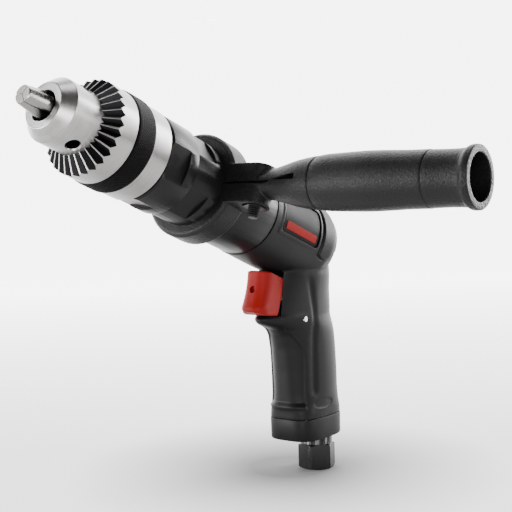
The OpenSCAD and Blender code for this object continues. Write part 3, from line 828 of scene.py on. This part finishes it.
class DRILL_OT_foot(Maker, bpy.types.Operator):
    """Foot of the grip with its exhaust holes, and the inlet parts"""

    bl_idname = "drill.foot"
    bl_label = "Foot and inlet"

    def execute(self, context):
        cap = loft("foot_cap", [section(s) for s in CAP], ROW)
        inlet = rod("tool", (0, 0, 15), (0, 0, 40), INLET_R, ROW)
        pad = prism("tool", [(10.5, -12), (27.5, -12), (27.5, 12), (10.5, 12)], 25, 40, ROW, "Z")
        spots = [(13.5 + 5.5 * i, 7 * j) for i in range(3) for j in (-1, 0, 1)]
        vents = [rod("tool", (x, y, 15), (x, y, 30), 1.8, ROW, 32) for x, y in spots]
        cut(cap, inlet, pad, *vents)
        place(shade(cap, 30), "housing", finish("housing_plastic"), "black_plastic", "exhaust_cap")
        paint(finish("inlet_black"), "inlet_bushing", bevel=0.25)
        paint(finish("rubber"), "inlet_seal", "motor_gasket")
        paint(felt((0.5, 0.44, 0.33)), "exhaust_felt", "front_seal")
        paint(finish("brass"), "inlet_screen", "valve_bush", "valve_poppet")
        return {"FINISHED"}


class DRILL_OT_badge(Maker, bpy.types.Operator):
    """Plain inlay on the left of the barrel and the dowel of the grip"""

    bl_idname = "drill.badge"
    bl_label = "Badge and dowel"

    def execute(self, context):
        plate = on_barrel("badge", badge_outline(0.8), BADGE_FLOOR, 23.05)
        place(plate, "housing", finish("badge_face"), "black_plastic", "badge_plate")
        field = [(-75, -5.4, 0.5), (-47, -5.4, 0.5), (-47, -1.2, 0.5), (-75, -1.2, 0.5)]
        bar = on_barrel("badge_bar", rounded(field), 22.9, 23.4)
        place(bar, "housing", finish("badge_red"), "red_badge")
        paint(finish("pin_steel"), "grip_pin", "trigger_rod")
        return {"FINISHED"}


class DRILL_OT_trigger(Maker, bpy.types.Operator):
    """Red trigger with soft edges and its small front hole, and the valve spring behind it"""

    bl_idname = "drill.trigger"
    bl_label = "Trigger and spring"

    def execute(self, context):
        skin = prism("trigger_skin", rounded(TRIGGER), -TRIGGER_HALF, TRIGGER_HALF, ROW)
        heights = [91 + 0.5 * i for i in range(59)]
        join(skin, loft("tool", [trigger_ring(z) for z in heights], ROW), "INTERSECT")
        melt(skin, 0.3 * MM, 40)
        rod_hole = rod("tool", (36, 0, VALVE_Z), (48, 0, VALVE_Z), 2, ROW)
        bush_room = rod("tool", (30, 0, VALVE_Z), (40.3, 0, VALVE_Z), 5.2, ROW)
        front_hole = rod("tool", (55.2, 0, 108), (70, 0, 108), 1.85, ROW)
        cut(skin, rod_hole, bush_room, front_hole)
        place(shade(skin, 50), "trigger", finish("trigger_red"), "red_plastic", "trigger")
        coil = loft("valve_coil", coil_rings(), ROW)
        place(shade(coil, 50), "housing", finish("pin_steel"), "bright_steel", "valve_spring")
        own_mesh(coil)
        return {"FINISHED"}


class DRILL_OT_chuck(Maker, bpy.types.Operator):
    """Chuck body, toothed sleeve with its knurl, nut, screw and jaws"""

    bl_idname = "drill.chuck"
    bl_label = "Chuck"

    def execute(self, context):
        looks, sizes = context.scene.drill_looks, context.scene.drill_sizes
        steel = tuple(looks.steel)
        skew = SPINDLE @ CHUCK_TURN
        body = lathe("chuck_core", rounded(CHUCK, 10), skew, seg=160)
        tools = [lathe("tool", CHUCK_MOUTH, skew, seg=96),
                 rod("tool", (40, 0, 0), (66, 0, 0), 6.4, SPINDLE),
                 rod("tool", (60, 0, 0), (81, 0, 0), 3.05, SPINDLE)]
        jaws = []
        start = Vector((JAW_TIP, 1, 0))
        way = Vector((-math.cos(JAW_TILT), math.sin(JAW_TILT), 0))
        for k in range(3):
            turn = SPINDLE @ Matrix.Rotation(math.radians(120 * k), 4, "X")
            tools.append(rod("tool", start - way * 12, start + way * 77, JAW_BORE, turn))
            jaw = rod(f"jaw_skin_{k + 1}", start - way * 4, start + way * 44, JAW_R, turn, 96)
            wedge = prism("tool", JAW_WEDGE, JAW_BACK, JAW_TIP, turn, "X")
            form = lathe("tool", JAW_FORM, skew)
            join(jaw, wedge, "INTERSECT")
            jaws.append(join(jaw, form, "INTERSECT"))
            # Key holes lie between the jaws.
            key = SPINDLE @ Matrix.Rotation(math.radians(60 + 120 * k), 4, "X")
            tools.append(lathe("tool", KEY_HOLE, key @ Matrix.Translation((KEY_X, 0, 0)), "Y", 64))
        cut(body, *tools)
        # The body's material paints shade in the bores of jaws and key.
        place(shade(body, 32), "spindle", chuck_steel(steel), "bright_steel", "chuck_body")
        # Black band under the knurl, and painted shade in the tooth valleys.
        paint(sleeve_steel(steel, (0.012, 0.012, 0.013)), "chuck_sleeve")
        knurl = knurl_band(looks.knurls, sizes.knurl)
        place(shade(knurl, 60), "sleeve", finish("knurl_black"), "black_steel")
        for k, jaw in enumerate(jaws):
            place(shade(jaw, 25), f"jaw_{k + 1}", finish("jaw_steel"), "bright_steel",
                  f"jaw_{k + 1}")
        paint(finish("machined_steel"), "chuck_nut", "chuck_screw")
        return {"FINISHED"}


class DRILL_OT_gears(Maker, bpy.types.Operator):
    """Neck, gear train and motor"""

    bl_idname = "drill.gears"
    bl_label = "Neck, gears and motor"

    def execute(self, context):
        paint(finish("black_oxide"), "nose_housing", "gear_case", bevel=0.25)
        paint(finish("machined_steel"),
              "spindle", "front_bearing", "front_bearing_inner", "ring_gear", "gear_spacer",
              "out_planet_1", "out_planet_2", "out_planet_3", "out_planet_pins", "mid_carrier",
              "in_planet_1", "in_planet_2", "in_planet_3", "in_planet_pins",
              "rotor_front_bearing", "rotor_front_inner", "rotor", "motor_cylinder",
              "rotor_rear_bearing", "rotor_rear_inner")
        paint(finish("alloy"), "front_end_plate", "rear_end_plate")
        paint(finish("vane"), "rotor_vanes")
        return {"FINISHED"}


class DRILL_OT_side_handle(Maker, bpy.types.Operator):
    """Clamp ring with its lug, the root and the hollow grip of the side handle, and its bolt"""

    bl_idname = "drill.side_handle"
    bl_label = "Side handle"

    def execute(self, context):
        looks = context.scene.drill_looks
        lift = SPINDLE @ Matrix.Translation((0, 0, HANDLE_LIFT))
        grain = grip_grain(tuple(looks.plastic), looks.grain)
        place(shade(self.clamp(lift), 40), "side_handle", grain, "black_plastic", "side_handle")
        place(shade(self.grip(lift), 40), "side_handle", grain, "black_plastic", "side_grip")
        paint(finish("black_oxide"), "clamp_nut", bevel=0.2)
        place(shade(self.bolt(), 30), "side_handle", finish("bolt_black"), "black_steel",
              "clamp_bolt")
        return {"FINISHED"}

    def clamp(self, lift):
        """Split ring, lug and root in one skin, with the spigot of the grip."""
        ring = lathe("tool", rounded(CLAMP_RING), SPINDLE, seg=160, closed=True)
        outline = [(-LUG_HALF, 22), (LUG_HALF, 22)] + arc(BOLT_Y, LUG_HALF, range(0, 181, 6))
        lug = prism("tool", outline, -10, 10, SPINDLE, "Z")
        root = lathe("tool", smooth_line(ROOT) + [Vector((ROOT_END, 0))], lift, "Y")
        near = ROOT[0][1]
        plug = [(ROOT_START, 0), (ROOT_START, near), (ROOT_START + 1, near), (ROOT_START + 1, 0)]
        root_cap = lathe("tool", plug, lift, "Y")
        skin = melt(together("clamp_skin", ring, lug, root, root_cap), 0.4 * MM, 5)
        spigot = rod("tool", (0, 71.5, HANDLE_LIFT), (0, SPIGOT_END, HANDLE_LIFT), SPIGOT_R,
                     SPINDLE)
        bore = rod("tool", (-12, 0, 0), (12, 0, 0), 21.36, SPINDLE, 192)
        slit = prism("tool", [(15, -0.5), (48, -0.5), (48, 0.5), (15, 0.5)], -15, 15, SPINDLE, "X")
        wedge = rounded([(51.2, 0.2), (64.8, -0.95, 0.8), (64.8, 2.2, 0.9), (51.2, 0.7)])
        vee = prism("tool", wedge, -15, 15, SPINDLE, "X")
        head = rod("tool", (0, BOLT_Y, 5), (0, BOLT_Y, 30), 5.2, SPINDLE)
        nut = rod("tool", (0, BOLT_Y, -30), (0, BOLT_Y, -6), 6, SPINDLE)
        bolt = rod("tool", (0, BOLT_Y, -30), (0, BOLT_Y, 30), 3, SPINDLE)
        cut(skin, bore, slit, vee, head, nut, bolt)
        return join(skin, spigot)

    def grip(self, lift):
        """Hollow grip: rim at its root, belly, groove, waist and flared end."""
        start = rounded([(ROOT_END, SPIGOT_R), (ROOT_END, 12.15), (72.65, 12.5, 0.2)], 4)
        groove = rounded([(128.2, 12.72), (128.6, 12.66, 0.3), (129, 12.2, 0.2),
                          (129.4, 12.5, 0.3), (130, 12.52)], 4)
        waist = smooth_line([(130, 12.52), (138.7, 12.3), (145.2, 12.55), (147.3, 13.5)], 6)
        flare = rounded([(147.4, 13.55), (148.4, 13.8, 0.6), (150.7, 13.75, 0.8),
                         (150.7, 10.3, 0.6), (149, 10.3)], 6)
        hollow = [(133, 10.3), (133, 0), (SPIGOT_END, 0), (SPIGOT_END, SPIGOT_R)]
        line = start + smooth_line(SIDE_GRIP)[4:-1] + groove + waist + flare + hollow
        return lathe("side_grip_skin", line, lift, "Y", 160, closed=True)

    def bolt(self):
        """Clamp bolt: turns of thread below, socket head above."""
        thread = [(-15.0 + 0.5 * i, 2.97 if i % 2 else 2.5) for i in range(12)]
        head = rounded([(-9, 2.97), (5, 2.97), (5, 5), (9.8, 5, 0.5), (9.8, 0)])
        upright = SPINDLE @ Matrix.Translation((0, BOLT_Y, 0))
        upright = upright @ Matrix.Rotation(math.radians(-90), 4, "Y")
        profile = [(-15.5, 0), (-15.5, 2.2)] + thread + head
        screw = lathe("clamp_bolt_skin", profile, upright, seg=64)
        cut(screw, prism("tool", arc(BOLT_Y, 2.9, range(0, 360, 60)), 7, 13, SPINDLE, "Z"))
        return screw


# Stage, in metres.

# The floor runs from its front edge to a curve behind the drill, which ends in a wall.
FLOOR_FRONT, FLOOR_BACK, FLOOR_CURVE, FLOOR_HALF, FLOOR_TOP = 2.5, -1.2, 0.8, 3.5, 3.5
FLOOR_TURN = math.radians(37)
# Centre of the painted shadow on the floor, a little off the foot.
SHADOW_SPOT = (0.009, -0.013, 0.0)
BEHIND = (-0.798, -0.6, 0.0)
# Soft boxes: name, place, aim, power in watts, width and height.
MIDDLE = (0.07, 0.03, 0.13)
LIGHTS = (("top", (0.05, 0.0, 1.25), MIDDLE, 4, 0.4, 0.4),
          ("front", (0.82, 0.6, 0.27), MIDDLE, 9, 0.55, 0.3),
          ("nose", (0.77, -0.54, 0.62), (0.19, 0.0, 0.2), 5, 0.3, 0.3),
          ("left", (0.76, -0.42, 0.15), MIDDLE, 11, 0.3, 0.35),
          ("edge", (0.45, -0.78, 0.18), (0.055, 0.0, 0.105), 4, 0.12, 0.4),
          ("side", (-0.24, 0.88, 0.22), (0.02, 0.0, 0.1), 5, 0.2, 0.4),
          ("panel", (-0.63, 0.36, 0.40), (0.12, 0.0, 0.18), 12, 0.3, 0.5))
# Camera in the spindle frame: its axes to the right, up and back, and its place in millimetres.
CAMERA_AXES = ((-0.5729, 0.7999, 0.1786), (0.2829, -0.0115, 0.9591), (0.7692, 0.6000, -0.2197))
CAMERA_SPOT = (372.0, 333.4, -140.4)


class DRILL_OT_stage(Maker, bpy.types.Operator):
    """Pale floor, soft studio light and the camera of the photograph"""

    bl_idname = "drill.stage"
    bl_label = "Stage"

    def execute(self, context):
        self.floor()
        self.world(context.scene)
        for light in LIGHTS:
            self.soft_box(context.scene, *light)
        self.camera(context.scene)
        return {"FINISHED"}

    def floor(self):
        """Floor that curves up behind the drill and glows softly, with a painted shadow around the
        foot.
        """
        line = [(FLOOR_FRONT, 0.0), (FLOOR_BACK, 0.0)]
        for a in (math.radians(d) for d in range(6, 91, 6)):
            line.append((FLOOR_BACK - FLOOR_CURVE * math.sin(a),
                         FLOOR_CURVE - FLOOR_CURVE * math.cos(a)))
        line.append((FLOOR_BACK - FLOOR_CURVE, FLOOR_TOP))
        turn = Matrix.Rotation(FLOOR_TURN, 4, "Z")
        verts = [(x, y, z) for x, z in line for y in (-FLOOR_HALF, FLOOR_HALF)]
        faces = [(2 * i, 2 * i + 1, 2 * i + 3, 2 * i + 2) for i in range(len(line) - 1)]
        floor = mesh_object("floor", verts, faces, turn)
        for p in floor.data.polygons:
            p.use_smooth = True
        # The glow fades out around the foot, a painted shadow, and is stronger behind the drill.
        pale = Tree("floor_pale").set(base=(0.16, 0.16, 0.16), rough=0.7, spec=0.05)
        where = pale.node("ShaderNodeTexCoord").outputs["Object"]
        behind = pale.node("ShaderNodeVectorMath", operation="DOT_PRODUCT")
        behind.inputs[1].default_value = BEHIND
        away = pale.node("ShaderNodeVectorMath", operation="DISTANCE")
        away.inputs[1].default_value = SHADOW_SPOT
        for n in (behind, away):
            pale.link(where, n.inputs[0])
        # Painted shadow: no glow within 22 mm of the shadow's centre, full glow from 130 mm.
        near = pale.spread(away.outputs["Value"], 0.0, 2.1, 0.022, 0.13)
        far = pale.spread(behind.outputs["Value"], 0.0, 4.0, 0.05, 1.2)
        pale.bsdf.inputs["Emission Color"].default_value = (1.0, 1.0, 1.0, 1.0)
        pale.to("Emission Strength", pale.math("ADD", near, far))
        floor.data.materials.append(pale.mat)

    def world(self, scene):
        """Studio around the stage, pale at the horizon and dim above."""
        world = bpy.data.worlds.new("studio")
        scene.world = world
        world.use_nodes = True
        nodes, links = world.node_tree.nodes, world.node_tree.links
        back = nodes["Background"]
        back.inputs["Color"].default_value = (1.0, 1.0, 1.0, 1.0)
        way = nodes.new("ShaderNodeTexCoord")
        parts = nodes.new("ShaderNodeSeparateXYZ")
        dim = nodes.new("ShaderNodeMapRange")
        for i, v in enumerate((0.04, 0.36, 1.0, 0.08)):
            dim.inputs[i + 1].default_value = v
        links.new(way.outputs["Generated"], parts.inputs[0])
        links.new(parts.outputs[2], dim.inputs[0])
        links.new(dim.outputs[0], back.inputs["Strength"])

    def soft_box(self, scene, name, spot, aim, power, wide, tall):
        """One rectangular light."""
        data = bpy.data.lights.new(name, "AREA")
        data.shape = "RECTANGLE"
        data.size, data.size_y = wide, tall
        data.energy = power
        ob = bpy.data.objects.new(name, data)
        scene.collection.objects.link(ob)
        ob.location = spot
        ob.rotation_euler = (Vector(aim) - Vector(spot)).to_track_quat("-Z", "Y").to_euler()

    def camera(self, scene):
        """Camera at the photograph's viewing angle."""
        cam = bpy.data.cameras.new("camera")
        cam.lens = scene.drill_sizes.lens
        cam.sensor_width = 36
        cam.clip_start = 0.01
        ob = bpy.data.objects.new("camera", cam)
        scene.collection.objects.link(ob)
        turn = Matrix.Rotation(-RAKE, 3, "Y")
        view = Matrix([turn @ Vector(v) for v in CAMERA_AXES]).transposed().to_4x4()
        view.translation = SPINDLE @ Vector(CAMERA_SPOT)
        ob.matrix_world = view
        scene.camera = ob


class DRILL_PT_panel(bpy.types.Panel):
    """Lists the steps and settings of the drill"""

    bl_label = "Air Drill"
    bl_idname = "DRILL_PT_panel"
    bl_space_type = "VIEW_3D"
    bl_region_type = "UI"
    bl_category = "Drill"

    def draw(self, context):
        layout = self.layout
        for op in STEPS:
            layout.operator(op.bl_idname)
        for group in (context.scene.drill_looks, context.scene.drill_sizes):
            for name in group.__annotations__:
                layout.prop(group, name)


STEPS = (DRILL_OT_housing, DRILL_OT_foot, DRILL_OT_badge, DRILL_OT_trigger, DRILL_OT_chuck,
         DRILL_OT_gears, DRILL_OT_side_handle, DRILL_OT_stage)
CLASSES = (DrillLooks, DrillSizes) + STEPS + (DRILL_PT_panel,)


def register():
    for c in CLASSES:
        bpy.utils.register_class(c)
    bpy.types.Scene.drill_looks = PointerProperty(type=DrillLooks)
    bpy.types.Scene.drill_sizes = PointerProperty(type=DrillSizes)


def unregister():
    del bpy.types.Scene.drill_sizes
    del bpy.types.Scene.drill_looks
    for c in reversed(CLASSES):
        bpy.utils.unregister_class(c)


def main():
    register()
    bpy.ops.drill.housing()
    bpy.ops.drill.foot()
    bpy.ops.drill.badge()
    bpy.ops.drill.trigger()
    bpy.ops.drill.chuck()
    bpy.ops.drill.gears()
    bpy.ops.drill.side_handle()
    bpy.ops.drill.stage()
    bpy.context.view_layer.update()


if __name__ == "__main__":
    main()
